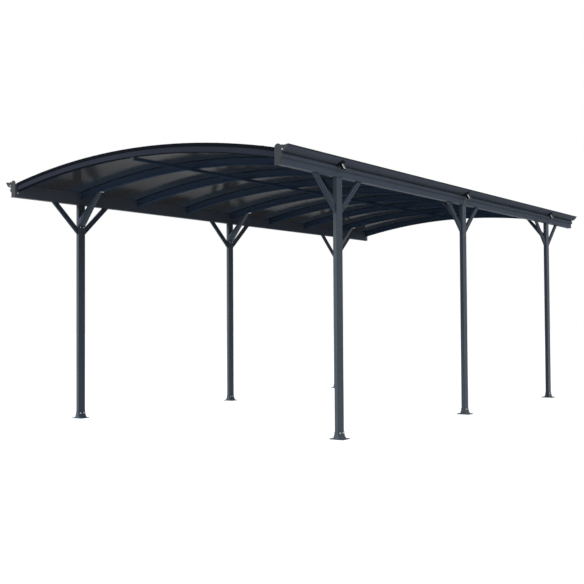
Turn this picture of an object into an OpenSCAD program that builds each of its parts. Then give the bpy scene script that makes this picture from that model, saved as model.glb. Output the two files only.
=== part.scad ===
// Free-standing carport with an arched roof: six posts on flared shoes, knee braces,
// a gutter beam along each side, nine arched bows and eight bent roof sheets.
// Millimetres. X runs across (right is +X), Y runs along (front is -Y), Z is up.
// The origin is on the ground, in the middle of the plan.

/* [Roof] */
// Height of the crown above the ground
roof_top = 2400; // [2200:10:2800]
// Radius of the arch, measured to the top of the cover strips
arch_radius = 7050; // [6000:50:9000]
// Distance from bow to bow along the roof
bay_pitch = 780; // [700:10:900]
// Thickness of a roof sheet
sheet_t = 5; // [3:0.5:8]
// Length of sheet that overhangs the beam into the trough
sheet_overhang = 16; // [8:1:24]
// Gap left beside each sheet for its growth in the sun
sheet_growth = 3; // [1:0.5:6]

/* [Bows] */
// Depth of a bow, from its flange to the sheets
bow_depth = 62; // [45:1:72]
// Width of a bow's tube
bow_w = 40; // [30:1:60]
// Wall of a bow's tube
bow_wall = 2.5; // [1.5:0.5:5]
// How far the bottom flange stands out on each side of the tube
bow_flange_out = 5; // [2:0.5:10]
// Thickness of the bottom flange
bow_flange_t = 4; // [2.5:0.5:8]
// Width of the rib between two neighbouring sheets
rib_w = 10; // [6:1:16]
// Thickness of the cover strip over a rib
strip_t = 5; // [3:0.5:8]
// Width of the cover strip
strip_w = 50; // [40:1:70]
// Height of the end strip's leg over the gable face
strip_leg_h = 22; // [12:1:40]
// Width of the crown purlin
purlin_w = 22; // [15:1:40]
// Height of the crown purlin
purlin_h = 26; // [15:1:40]

/* [Gutter beam] */
// Distance between the inner faces of the two gutter beams
clear_width = 2984; // [2400:2:3600]
// Height of a gutter beam at its inner face
beam_h = 121; // [105:1:150]
// Width of the beam's box
beam_w = 52; // [45:1:75]
// Wall of the beam and of the trough
beam_wall = 2.5; // [1.5:0.5:4]
// Inner radius of the quarter-round trough
trough_r = 68.5; // [60:0.5:80]
// Depth of the trough's lowest line below the beam's outer top edge
trough_depth = 14; // [10:1:20]
// Distance from the beam's outer face to the trough's lowest line
trough_set = 6.5; // [3:0.5:12]
// Height of the lip's bead above the beam's outer top edge
lip_h = 30; // [20:1:40]
// Radius of the bead along the lip
lip_bead_r = 4; // [2.5:0.5:6]
// Radius of the half-round roll along the beam's outer face
roll_r = 20; // [14:0.5:22]
// Depth of the roll's middle below the beam's outer top edge
roll_depth = 41.5; // [40:0.5:48]
// How far the roll stands out of the beam's face
roll_out = 17; // [8:0.5:18]
// How far the gutter runs on past the last bow's middle
gutter_end = 34; // [32:1:80]

/* [Gutter fittings] */
// Thickness of an end cap
cap_t = 4; // [2:0.5:8]
// How far an end cap stands out around the gutter's section
cap_rim = 2.5; // [1:0.5:5]
// Radius of the end cap's rounded shoulder
cap_shoulder_r = 30; // [25:1:34]
// Rise of the shoulder's top above the beam's inner top edge
cap_rise = 34; // [30:1:45]
// Depth of the shallow dip in the end cap's top edge
cap_dip = 3; // [1:0.5:5]
// Radius of that dip
cap_dip_r = 100; // [60:5:150]
// Width of the strip over the joint of two gutter lengths
joint_strip_w = 14; // [8:1:30]
// Thickness of that strip
joint_strip_t = 1.5; // [1:0.5:3]
// Outer radius of a spout
spout_r = 18; // [12:0.5:20]
// Bore radius of a spout
spout_bore_r = 15; // [8:0.5:16]
// Length of a spout, from the trough's outer face
spout_len = 62; // [40:1:90]
// Radius of a spout's saddle flange
spout_flange_r = 34; // [28:1:38]
// Thickness of the flange at its middle
spout_flange_t = 4; // [2:0.5:8]
// Radius of the collar between flange and tube
spout_collar_r = 23; // [21:0.5:27]
// Height of the collar above the flange
spout_collar_h = 6; // [3:0.5:10]

/* [Posts and braces] */
// Width of a post, across the carport
post_w = 36; // [30:1:48]
// Depth of a post, along the carport
post_d = 88; // [70:1:110]
// Chamfer at a post's corners
post_chamfer = 4; // [4:0.5:10]
// Wall of a post
post_wall = 3; // [2:0.5:6]
// Broad side of a brace bar
brace_d = 50; // [35:1:60]
// Narrow side of a brace bar
brace_w = 16; // [12:0.5:30]
// Wall of a brace bar
brace_wall = 2.5; // [1.5:0.5:4]
// Reach of a fore or aft brace along the gutter, to the middle of its end
side_brace_reach = 284; // [200:2:400]
// Drop of a fore or aft brace down the post, to the middle of its end
side_brace_drop = 259; // [200:1:400]
// Reach of the inward brace towards the middle, to the middle of its end
tie_brace_reach = 243; // [180:1:400]
// Drop of the inward brace below the gutter beam, to the middle of its end
tie_brace_drop = 194; // [120:1:300]

/* [Feet] */
// How far the base plate stands out beside a post, across the carport
plate_out_x = 49; // [44:1:70]
// How far the base plate stands out before and behind a post
plate_out_y = 12; // [10:1:40]
// Chamfer at the base plate's corners
plate_chamfer = 8; // [2:1:12]
// Thickness of the base plate
plate_t = 6; // [4:0.5:10]
// Distance from an anchor hole's middle to the plate's edges
anchor_edge = 14; // [12:0.5:18]
// Diameter of an anchor hole
anchor_d = 11; // [8:0.5:12]
// Height of the shoe
shoe_h = 56; // [40:1:90]
// Wall of the shoe round the post
shoe_wall = 3.5; // [2:0.5:6]
// How far the shoe's skirt flares out at the plate, across the carport
shoe_flare_x = 16; // [6:1:18]
// How far it flares out before and behind the post
shoe_flare_y = 3; // [1:0.5:5]
// Height of the flared skirt
skirt_h = 34; // [20:1:38]

/* [Hidden] */

// Steps of a full circle: small curves, the trough, sweeps along the arch, and cuts to the arch
$fn = 96;
trough_steps = 180;
arch_steps = 360;
arch_cut_steps = 3600;
// The seat left between curved faces, and a thin slice for lofts
seat = 0.2;
slice = 0.01;
// A length that reaches past everything, for cuts, and the run of a cut past a face
far = 10000;
past = 1;

// Colours
anthracite = [0.27, 0.30, 0.33];
dark_anthracite = [0.17, 0.19, 0.22];
cap_grey = [0.36, 0.37, 0.39];
bronze = [0.18, 0.14, 0.12, 0.85];
black = [0.05, 0.05, 0.06];

// Rows of bows and posts: a post stands under the second, the middle and the last but one bow
bow_count = 9;
bay_count = bow_count - 1;
function bow_y(i) = (i - bay_count / 2) * bay_pitch;
post_bows = [1, bay_count / 2, bay_count - 1];
post_rows = ["front", "middle", "rear"];
side_names = ["left", "right"];
side_signs = [-1, 1];

// Radii of the roof's layers about the arch's axis
arch_mid_z = roof_top - arch_radius;
strip_under_r = arch_radius - strip_t;
sheet_top_r = strip_under_r - seat;
sheet_under_r = sheet_top_r - sheet_t;
bow_top_r = sheet_under_r - seat;
bow_under_r = bow_top_r - bow_depth;
function arch_z(r, x) = arch_mid_z + sqrt(r * r - x * x);

// Gutter beam, in its own section: u outwards from the inner face, v up from the underside.
// The beam hangs from the arch: the sheets rest on its sloped top.
beam_in_x = clear_width / 2;
post_x = beam_in_x + beam_w / 2;
beam_bottom = arch_z(sheet_under_r, beam_in_x) - seat - beam_h;
beam_top_out = arch_z(sheet_under_r, beam_in_x + beam_w) - seat - beam_bottom;
trough_out_r = trough_r + beam_wall;
trough_mid_r = trough_r + beam_wall / 2;
trough_u = beam_w + trough_set;
trough_v = beam_top_out - trough_depth + trough_r;
lip_v = beam_top_out + lip_h;
lip_u = trough_u + sqrt(pow(trough_mid_r, 2) - pow(trough_v - lip_v, 2));
roll_u = beam_w + roll_out - roll_r;
roll_v = beam_top_out - roll_depth;
sheet_end_x = beam_in_x + beam_w + sheet_overhang;
gutter_half = bow_y(bay_count) + gutter_end;

// A spout leans out until its flange clears the beam, and stands clear of the gutter's joint
spout_lean = asin(spout_flange_r / trough_out_r);
spout_offset = spout_flange_r + joint_strip_w;
function spout_y(row) = bow_y(post_bows[row]) - spout_offset;

// The strip over a joint wraps the roll up to this share of its radius above the middle
joint_wrap = 0.6;

// The shoe's skirt bends at these shares of its height and of its flare
skirt_knee_h = 0.4;
skirt_knee_flare = 0.35;

// The sloped edges of a cover strip take this share of its thickness
strip_slope = 0.8;

// Base plate
plate_w = post_w + 2 * plate_out_x;
plate_d = post_d + 2 * plate_out_y;

// A rectangle with chamfered corners, about the origin
module chamfered_rectangle(w, d, c) {
    x = w / 2;
    y = d / 2;
    polygon([
        [x - c, -y], [x, c - y], [x, y - c], [x - c, y],
        [c - x, y], [-x, y - c], [-x, c - y], [c - x, -y]
    ]);
}

// The post's outline, grown by a given amount on every face
module post_outline(grow = 0) {
    chamfered_rectangle(post_w + 2 * grow, post_d + 2 * grow, post_chamfer + grow * (2 - sqrt(2)));
}

// Sweeps a section, drawn as [radius, y], along the arch out to the given half width
module along_arch(half_x, r) {
    half_angle = asin(half_x / r);
    translate([0, 0, arch_mid_z])
        rotate([90, 0, 0])
            rotate([0, 0, 90 - half_angle])
                rotate_extrude(angle = 2 * half_angle, $fn = arch_steps)
                    mirror([0, 1])
                        children();
}

// Sets its children at a side, as seen on the right; the left side is its mirror image
module on_side(s) {
    mirror([s < 0 ? 1 : 0, 0, 0])
        children();
}

// Runs a gutter section, drawn as [u, v], from y0 to y1 on the right side
module along_gutter(y0, y1) {
    translate([beam_in_x, y1, beam_bottom])
        rotate([90, 0, 0])
            linear_extrude(y1 - y0)
                children();
}

// Posts

module post(s, row) {
    color(anthracite)
        translate([s * post_x, bow_y(post_bows[row]), plate_t])
            linear_extrude(beam_bottom - plate_t)
                difference() {
                    post_outline();
                    post_outline(-post_wall);
                }
}

// Feet

// A thin slice of the shoe's outside, flared by the given share
module skirt_slice(z, share) {
    sleeve = 2 * (seat + shoe_wall);
    translate([0, 0, z])
        linear_extrude(slice)
            chamfered_rectangle(
                post_w + sleeve + 2 * shoe_flare_x * share,
                post_d + sleeve + 2 * shoe_flare_y * share,
                post_chamfer
            );
}

// The shoe's outside: a straight collar over a skirt that sweeps outwards in two slopes
module shoe_body() {
    knee_z = plate_t + skirt_h * skirt_knee_h;
    hull() {
        skirt_slice(plate_t - slice, 1);
        skirt_slice(knee_z, skirt_knee_flare);
    }
    hull() {
        skirt_slice(knee_z, skirt_knee_flare);
        skirt_slice(plate_t + skirt_h, 0);
    }
    translate([0, 0, plate_t])
        linear_extrude(shoe_h)
            post_outline(seat + shoe_wall);
}

module foot(s, row) {
    hole_x = plate_w / 2 - anchor_edge;
    hole_y = plate_d / 2 - anchor_edge;
    color(anthracite)
        translate([s * post_x, bow_y(post_bows[row]), 0]) {
            difference() {
                linear_extrude(plate_t)
                    chamfered_rectangle(plate_w, plate_d, plate_chamfer);
                for (dx = [-1, 1], dy = [-1, 1])
                    translate([dx * hole_x, dy * hole_y, -past])
                        cylinder(d = anchor_d, h = plate_t + 2 * past);
            }
            difference() {
                shoe_body();
                translate([0, 0, plate_t])
                    linear_extrude(shoe_h + past)
                        post_outline(seat);
            }
        }
}

// Braces

// The side view of a fore or aft brace, cut flush to the post at 0 and to the beam at height 0.
// Each face lies inwards by the given inset, and the ends run on by the same amount.
module side_brace_outline(inset = 0) {
    lean = atan2(side_brace_drop, side_brace_reach);
    half_v = (brace_d / 2 - inset) / cos(lean);
    half_h = (brace_d / 2 - inset) / sin(lean);
    on_x = inset;
    on_z = inset * tan(lean);
    polygon([
        [-on_x, -side_brace_drop - half_v - on_z], [-on_x, -side_brace_drop + half_v - on_z],
        [side_brace_reach - half_h + on_x, on_z], [side_brace_reach + half_h + on_x, on_z]
    ]);
}

// The side view of the inward brace of the right side, cut flush to the post and to the bow
module tie_brace_outline(inset = 0) {
    foot_x = post_x - post_w / 2;
    foot_z = beam_bottom - tie_brace_drop;
    head_x = foot_x - tie_brace_reach;
    head_z = arch_z(bow_under_r - seat, head_x);
    lean = atan2(head_z - foot_z, tie_brace_reach);
    half_v = (brace_w / 2 - inset) / cos(lean);
    foot_on = inset * tan(lean);
    head_run = brace_d;
    head_on = head_run * tan(lean);
    intersection() {
        polygon([
            [foot_x + inset, foot_z - half_v - foot_on], [foot_x + inset, foot_z + half_v - foot_on],
            [head_x - head_run, head_z + head_on + half_v],
            [head_x - head_run, head_z + head_on - half_v]
        ]);
        translate([0, arch_mid_z])
            circle(r = bow_under_r - seat + inset, $fn = arch_cut_steps);
    }
}

// A fore or aft brace, a flat tube on edge
module side_brace(dir) {
    translate([brace_w / 2, 0, beam_bottom])
        rotate([90, 0, -90])
            mirror([dir > 0 ? 1 : 0, 0])
                translate([post_d / 2, 0, 0])
                    difference() {
                        linear_extrude(brace_w)
                            side_brace_outline();
                        translate([0, 0, brace_wall])
                            linear_extrude(brace_w - 2 * brace_wall)
                                side_brace_outline(brace_wall);
                    }
}

// The inward brace of the right side, the same flat tube with its broad side along the carport
module tie_brace() {
    rotate([90, 0, 0])
        translate([0, 0, -brace_d / 2])
            difference() {
                linear_extrude(brace_d)
                    tie_brace_outline();
                translate([0, 0, brace_wall])
                    linear_extrude(brace_d - 2 * brace_wall)
                        tie_brace_outline(brace_wall);
            }
}

module braces(s, row) {
    color(anthracite)
        translate([0, bow_y(post_bows[row]), 0]) {
            translate([s * post_x, 0, 0])
                for (dir = [-1, 1])
                    side_brace(dir);
            on_side(s)
                tie_brace();
        }
}

// Gutter beams

module trough_disc(r) {
    translate([trough_u, trough_v])
        circle(r = r, $fn = trough_steps);
}

// The quarter-round trough with the bead along its lip; it starts inside the beam's outer wall
module trough_wall() {
    intersection() {
        difference() {
            trough_disc(trough_out_r);
            trough_disc(trough_r);
        }
        translate([beam_w - beam_wall / 2, 0])
            square([far, lip_v]);
    }
    translate([lip_u, lip_v])
        circle(r = lip_bead_r);
}

// The beam's box with its roll, both hollow
module beam_box() {
    difference() {
        union() {
            polygon([[0, 0], [beam_w, 0], [beam_w, beam_top_out], [0, beam_h]]);
            translate([roll_u, roll_v])
                circle(r = roll_r);
        }
        polygon([
            [beam_wall, beam_wall], [beam_w - beam_wall, beam_wall],
            [beam_w - beam_wall, beam_top_out - beam_wall], [beam_wall, beam_h - beam_wall]
        ]);
        translate([roll_u, roll_v])
            circle(r = roll_r - beam_wall);
    }
}

module gutter_section() {
    beam_box();
    trough_wall();
}

// Sets its children on the trough's axis at a row of posts, with +Z leaning out and down
module at_spout(row) {
    translate([beam_in_x + trough_u, spout_y(row), beam_bottom + trough_v])
        rotate([0, 180 - spout_lean, 0])
            children();
}

module gutter_length(s, y0, y1) {
    color(anthracite)
        on_side(s)
            difference() {
                along_gutter(y0, y1)
                    gutter_section();
                for (row = [0 : len(post_bows) - 1])
                    if (spout_y(row) > y0 && spout_y(row) < y1)
                        at_spout(row)
                            translate([0, 0, trough_r - spout_r])
                                cylinder(r = spout_r + seat, h = 2 * spout_r);
            }
}

// Gutter fittings

// The end cap's outline: the gutter's section with a rim, closed over the trough,
// with a rounded shoulder on the inner side and a shallow dip before the lip
module cap_outline() {
    shoulder_u = cap_shoulder_r - cap_rim;
    shoulder_v = beam_h + cap_rise - cap_shoulder_r;
    top_v = lip_v + lip_bead_r;
    difference() {
        union() {
            translate([-cap_rim, -cap_rim])
                square([beam_w + 2 * cap_rim, shoulder_v + cap_rim]);
            translate([shoulder_u, shoulder_v])
                circle(r = cap_shoulder_r);
            translate([roll_u, roll_v])
                circle(r = roll_r + cap_rim);
            intersection() {
                trough_disc(trough_out_r + cap_rim);
                translate([shoulder_u, 0])
                    square([far, top_v]);
            }
            translate([lip_u, lip_v])
                circle(r = lip_bead_r + cap_rim);
        }
        translate([(beam_w + lip_u) / 2, top_v + cap_dip_r - cap_dip])
            circle(r = cap_dip_r);
    }
}

module gutter_end_caps() {
    color(cap_grey)
        for (s = side_signs)
            on_side(s) {
                along_gutter(-gutter_half - cap_t, -gutter_half)
                    cap_outline();
                along_gutter(gutter_half, gutter_half + cap_t)
                    cap_outline();
            }
}

// A strip over each joint of two gutter lengths, wrapped on the beam's outer face and roll
module joint_outline() {
    difference() {
        union() {
            square([beam_w + joint_strip_t, roll_v]);
            translate([roll_u, roll_v])
                circle(r = roll_r + joint_strip_t);
        }
        square([beam_w, far]);
        translate([roll_u, roll_v])
            circle(r = roll_r);
        translate([0, roll_v + roll_r * joint_wrap])
            square([far, far]);
    }
}

module gutter_joints() {
    color(cap_grey)
        for (s = side_signs)
            on_side(s)
                along_gutter(-joint_strip_w / 2, joint_strip_w / 2)
                    joint_outline();
}

// A spout: a tube through the trough's wall, with a collar and a saddle flange on its outer face
module spout() {
    tube_from = trough_r - beam_wall / 2;
    saddle_from = sqrt(pow(trough_out_r, 2) - pow(spout_flange_r, 2)) - past;
    flange_top = trough_out_r + spout_flange_t;
    difference() {
        union() {
            difference() {
                union() {
                    translate([0, 0, saddle_from])
                        cylinder(r = spout_flange_r, h = flange_top - saddle_from);
                    translate([0, 0, saddle_from])
                        cylinder(r = spout_collar_r, h = flange_top + spout_collar_h - saddle_from);
                }
                rotate([90, 0, 0])
                    cylinder(r = trough_out_r + seat, h = far, center = true, $fn = trough_steps);
            }
            translate([0, 0, tube_from])
                cylinder(r = spout_r, h = trough_out_r + spout_len - tube_from);
        }
        translate([0, 0, tube_from - past])
            cylinder(r = spout_bore_r, h = trough_out_r + spout_len - tube_from + 2 * past);
    }
}

module spouts(s) {
    color(black)
        on_side(s)
            for (row = [0 : len(post_bows) - 1])
                at_spout(row)
                    spout();
}

// Bows

// The bow's section as [radius, y]: a tube on a flange, with a rib between the sheets.
// On an end bow the rib fills out to the gable face.
module bow_section(gable) {
    half_w = bow_w / 2;
    rib_from = gable < 0 ? -half_w : -rib_w / 2;
    rib_to = gable > 0 ? half_w : rib_w / 2;
    difference() {
        union() {
            translate([bow_under_r, -half_w])
                square([bow_depth, bow_w]);
            translate([bow_under_r, -half_w - bow_flange_out])
                square([bow_flange_t, bow_w + 2 * bow_flange_out]);
            translate([bow_top_r - slice, rib_from])
                square([strip_under_r - bow_top_r + slice, rib_to - rib_from]);
        }
        translate([bow_under_r + bow_flange_t, bow_wall - half_w])
            square([bow_depth - bow_flange_t - bow_wall, bow_w - 2 * bow_wall]);
    }
}

// Which gable a bow stands in: -1 at the front, 1 at the rear, 0 between
function gable_of(i) = i == 0 ? -1 : i == bay_count ? 1 : 0;

module bow(i) {
    color(i == 0 ? anthracite : dark_anthracite)
        translate([0, bow_y(i), 0])
            intersection() {
                along_arch(beam_in_x + bow_depth, bow_under_r)
                    bow_section(gable_of(i));
                translate([-beam_in_x, -bow_w, 0])
                    cube([2 * beam_in_x, 2 * bow_w, roof_top]);
            }
}

module roof_sheet(i) {
    from_y = bow_y(i) + rib_w / 2 + sheet_growth;
    to_y = bow_y(i + 1) - rib_w / 2 - sheet_growth;
    color(bronze)
        along_arch(sheet_end_x, sheet_under_r)
            translate([sheet_under_r, from_y])
                square([sheet_t, to_y - from_y]);
}

// The cover strip's section: a flat strip with sloped edges, and on a gable a leg down its face
module strip_section(gable) {
    half_w = strip_w / 2;
    slope = strip_t * strip_slope;
    face = bow_w / 2 + bow_flange_out;
    from_y = gable < 0 ? -face : -half_w;
    to_y = gable > 0 ? face : half_w;
    polygon([
        [strip_under_r, from_y], [strip_under_r + strip_t - slope, from_y],
        [arch_radius, from_y + slope], [arch_radius, to_y - slope],
        [strip_under_r + strip_t - slope, to_y], [strip_under_r, to_y]
    ]);
    if (gable != 0)
        translate([strip_under_r - strip_leg_h, gable < 0 ? -face : bow_w / 2 + seat])
            square([strip_leg_h + slice, bow_flange_out - seat]);
}

// A strip runs as far as the sheets, and a gable strip stops at the beam's inner face
module cover_strips() {
    color(dark_anthracite)
        for (i = [0 : bay_count])
            translate([0, bow_y(i), 0])
                along_arch(gable_of(i) == 0 ? sheet_end_x : beam_in_x - seat, strip_under_r)
                    strip_section(gable_of(i));
}

// The purlin runs under the crown of every bow
module crown_purlin() {
    wall = bow_wall;
    half_len = bow_y(bay_count) + bow_w / 2 - bow_flange_out;
    color(dark_anthracite)
        translate([-purlin_w / 2, half_len, arch_mid_z + bow_under_r - seat - purlin_h])
            rotate([90, 0, 0])
                linear_extrude(2 * half_len)
                    difference() {
                        square([purlin_w, purlin_h]);
                        translate([wall, wall])
                            square([purlin_w - 2 * wall, purlin_h - 2 * wall]);
                    }
}

for (k = [0, 1], row = [0 : len(post_rows) - 1]) {
    place = str(post_rows[row], "_", side_names[k]);
    post(side_signs[k], row);
    foot(side_signs[k], row);
    braces(side_signs[k], row);
}
for (k = [0, 1]) {
    side = side_names[k];
    gutter_length(side_signs[k], -gutter_half, 0);
    gutter_length(side_signs[k], 0, gutter_half);
    spouts(side_signs[k]);
}
gutter_end_caps();
gutter_joints();
for (i = [0 : bay_count])
    bow(i);
for (i = [0 : bay_count - 1])
    roof_sheet(i);
cover_strips();
crown_purlin();
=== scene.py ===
"""Looks of an arched carport: finishes, fastenings, seals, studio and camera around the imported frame.

Every length is in metres, in the part's own frame: X across (right is +X), Y along (front is -Y),
Z up, with the origin on the ground in the middle of the plan.
"""

from __future__ import annotations

import logging
import math
from dataclasses import dataclass
from enum import Enum
from typing import Iterable, Iterator, Sequence

import bmesh
import bpy
from mathutils import Matrix, Vector

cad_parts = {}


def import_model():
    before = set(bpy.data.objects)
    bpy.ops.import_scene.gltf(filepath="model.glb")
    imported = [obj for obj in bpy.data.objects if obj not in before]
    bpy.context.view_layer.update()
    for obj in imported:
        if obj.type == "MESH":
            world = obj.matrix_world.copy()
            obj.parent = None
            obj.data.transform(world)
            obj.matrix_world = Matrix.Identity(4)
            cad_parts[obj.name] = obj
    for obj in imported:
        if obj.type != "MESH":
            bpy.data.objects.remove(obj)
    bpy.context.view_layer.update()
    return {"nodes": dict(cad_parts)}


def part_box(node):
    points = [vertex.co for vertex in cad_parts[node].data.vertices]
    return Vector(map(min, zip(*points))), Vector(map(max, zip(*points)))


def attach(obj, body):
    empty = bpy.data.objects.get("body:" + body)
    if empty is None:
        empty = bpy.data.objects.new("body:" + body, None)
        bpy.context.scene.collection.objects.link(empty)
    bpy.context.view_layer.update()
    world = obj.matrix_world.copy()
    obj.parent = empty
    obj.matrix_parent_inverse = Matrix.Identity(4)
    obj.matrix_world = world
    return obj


LOG = logging.getLogger("carport")
BODY = "root"
BOW_COUNT = 9
SMOOTH_UP_TO = math.radians(38.0)
MERGE_WITHIN = 1e-6

Rgb = tuple[float, float, float]
Flat = tuple[float, float]
Nodes = dict[str, bpy.types.Object]
Socket = bpy.types.NodeSocket


class Side(Enum):
    """The two long sides of the carport, by the sign of X."""

    LEFT = -1
    RIGHT = 1

    @property
    def label(self) -> str:
        """The side's name as the nodes use it."""
        return self.name.lower()


class Row(Enum):
    """The three rows of posts along the carport."""

    FRONT = "front"
    MIDDLE = "middle"
    REAR = "rear"


class End(Enum):
    """The two ends of the carport, by the sign of Y."""

    FRONT = -1
    REAR = 1

    @property
    def label(self) -> str:
        """The end's name as the nodes use it."""
        return self.name.lower()


class LampUse(Enum):
    """Which surfaces show a lamp."""

    MATT = "matt"
    GLOSS = "gloss"


def linear(red: int, green: int, blue: int) -> Rgb:
    """Turns an sRGB colour of 0 to 255 into linear light.

    Args:
        red: Red share.
        green: Green share.
        blue: Blue share.

    Returns:
        The colour as three linear values.
    """

    def one(value: int) -> float:
        """Turns one share into linear light by the sRGB curve."""
        share = value / 255
        return share / 12.92 if share <= 0.04045 else ((share + 0.055) / 1.055) ** 2.4

    return one(red), one(green), one(blue)


class Tree:
    """Adds and links the nodes of one shader tree."""

    MIX_INPUTS = (0, 6, 7)
    MIX_OUTPUT = 2
    MIDDLE = 0.5

    def __init__(self, tree: bpy.types.NodeTree) -> None:
        """Keeps the tree and clears it."""
        self.tree = tree
        self.tree.nodes.clear()

    def node(self, kind: str, **values: object) -> bpy.types.Node:
        """Adds a node and sets its properties.

        Args:
            kind: The node's class name, without its prefix.
            values: Properties of the node, by name.

        Returns:
            The new node.
        """
        made = self.tree.nodes.new("ShaderNode" + kind)
        for name, value in values.items():
            setattr(made, name, value)
        return made

    def feed(self, socket: Socket, value: object) -> None:
        """Links an input to an output socket, or sets it to a colour or a plain value.

        Args:
            socket: The input.
            value: An output socket, a colour or a plain value.
        """
        if isinstance(value, bpy.types.NodeSocket):
            self.tree.links.new(value, socket)
        elif isinstance(value, tuple) and socket.type == "RGBA" and len(value) == 3:
            socket.default_value = (*value, 1.0)
        else:
            socket.default_value = value

    def put(self, node: bpy.types.Node, **inputs: object) -> bpy.types.Node:
        """Sets or links a node's inputs.

        Args:
            node: The node to feed.
            inputs: Values or output sockets by input name, with _ for a space.

        Returns:
            The same node.
        """
        for name, value in inputs.items():
            self.feed(node.inputs[name.replace("_", " ")], value)
        return node

    def group(self, group: bpy.types.NodeTree, **inputs: object) -> bpy.types.Node:
        """Places a shared group and feeds its inputs.

        Args:
            group: The shared group.
            inputs: Values or output sockets by input name, with _ for a space.

        Returns:
            The group's node.
        """
        made = self.node("Group")
        made.node_tree = group
        return self.put(made, **inputs)

    def math(self, operation: str, first: object, second: object = 0.0, clamp: bool = False) -> Socket:
        """Adds a math node.

        Args:
            operation: The operation's name.
            first: First value or socket.
            second: Second value or socket.
            clamp: Whether the result is held between 0 and 1.

        Returns:
            The result's socket.
        """
        made = self.node("Math", operation=operation, use_clamp=clamp)
        self.feed(made.inputs[0], first)
        self.feed(made.inputs[1], second)
        return made.outputs[0]

    def mix(self, share: object, first: object, second: object) -> Socket:
        """Mixes a share of the second colour into the first.

        Args:
            share: The share, a value or a socket.
            first: First colour.
            second: Second colour.

        Returns:
            The mixed colour's socket.
        """
        made = self.node("Mix", data_type="RGBA")
        for index, value in zip(self.MIX_INPUTS, (share, first, second)):
            self.feed(made.inputs[index], value)
        return made.outputs[self.MIX_OUTPUT]

    def ramp(self, value: Socket, low: float, high: float) -> Socket:
        """Maps the range from low to high onto 0 to 1, clamped."""
        made = self.put(self.node("MapRange"), Value=value, From_Min=low, From_Max=high)
        return made.outputs["Result"]

    def place(self) -> bpy.types.Node:
        """Gives X, Y and Z of the object's own coordinates."""
        found = self.node("TexCoord")
        return self.put(self.node("SeparateXYZ"), Vector=found.outputs["Object"])

    def noise(self, scale: object, detail: float) -> Socket:
        """Adds noise on the object's own coordinates.

        Args:
            scale: Cells to the metre, a value or a socket.
            detail: Octaves of finer noise.

        Returns:
            The noise's value, from 0 to 1.
        """
        found = self.node("TexCoord")
        made = self.put(self.node("TexNoise"), Vector=found.outputs["Object"], Scale=scale, Detail=detail)
        return made.outputs[0]

    def looks_up(self, low: float, high: float) -> Socket:
        """Masks faces by the share of Z in their normal.

        Args:
            low: Share at which the mask starts.
            high: Share at which it is full.

        Returns:
            The mask's socket.
        """
        face = self.node("NewGeometry")
        parts = self.put(self.node("SeparateXYZ"), Vector=face.outputs["Normal"])
        return self.ramp(parts.outputs["Z"], low, high)

    def drift(self, cloud: Socket, middle: float, swing: object) -> Socket:
        """Lets a value drift about its middle with a cloud of 0 to 1."""
        off = self.math("MULTIPLY", self.math("SUBTRACT", cloud, self.MIDDLE), swing)
        return self.math("ADD", off, middle)

    def bump(self, height: Socket, depth: float, strength: float, **inputs: object) -> Socket:
        """Turns a height into a normal.

        Args:
            height: The height's socket, from 0 to 1.
            depth: The depth that the height spans.
            strength: Share of the bump that shows.
            inputs: A normal to start from, if any.

        Returns:
            The bumped normal.
        """
        made = self.put(self.node("Bump"), Strength=strength, Distance=depth, Height=height, **inputs)
        return made.outputs[0]


@dataclass(frozen=True)
class PhotoCamera:
    """The photograph's camera, as fitted to measured points of the carport."""

    place: tuple[float, float, float] = (5.608, -8.7247, 0.9695)
    yaw: float = 0.619
    pitch: float = 0.0283
    roll: float = -0.0062
    focal_px: float = 939.77
    frame_px: float = 584.0
    sensor: float = 36.0

    def build(self) -> None:
        """Makes the camera and hands it to the scene."""
        flat = math.cos(self.pitch)
        ahead = Vector((-math.sin(self.yaw) * flat, math.cos(self.yaw) * flat, math.sin(self.pitch)))
        level = Vector((math.cos(self.yaw), math.sin(self.yaw), 0.0))
        up = level.cross(ahead)
        right = level * math.cos(self.roll) + up * math.sin(self.roll)
        top = up * math.cos(self.roll) - level * math.sin(self.roll)
        data = bpy.data.cameras.new("photo_camera")
        data.sensor_width = self.sensor
        data.lens = self.focal_px / self.frame_px * self.sensor
        made = bpy.data.objects.new("photo_camera", data)
        turn = Matrix((right, top, -ahead)).transposed().to_4x4()
        made.matrix_world = Matrix.Translation(self.place) @ turn
        bpy.context.scene.collection.objects.link(made)
        bpy.context.scene.camera = made


@dataclass(frozen=True)
class Lamp:
    """One soft lamp of the studio, for all nodes or for those of one kind."""

    name: str
    place: tuple[float, float, float]
    aim: tuple[float, float, float]
    width: float
    height: float
    watts: float
    use: LampUse
    colour: Rgb = (1.0, 1.0, 1.0)
    only_for: str = ""

    def build(self, nodes: Nodes) -> None:
        """Makes the lamp, turned to its aim.

        Args:
            nodes: The frame's nodes by name.
        """
        data = bpy.data.lights.new(self.name, "AREA")
        data.shape = "RECTANGLE"
        data.size = self.width
        data.size_y = self.height
        data.energy = self.watts
        data.color = self.colour
        made = bpy.data.objects.new(self.name, data)
        ray = Vector(self.aim) - Vector(self.place)
        turn = ray.to_track_quat("-Z", "Y").to_matrix().to_4x4()
        made.matrix_world = Matrix.Translation(self.place) @ turn
        made.visible_diffuse = self.use is LampUse.MATT
        made.visible_glossy = self.use is LampUse.GLOSS
        if self.only_for:
            lit = bpy.data.collections.new(self.name + "_lights")
            for name, node in nodes.items():
                if name.startswith(self.only_for):
                    lit.objects.link(node)
            made.light_linking.receiver_collection = lit
        bpy.context.scene.collection.objects.link(made)


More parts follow.
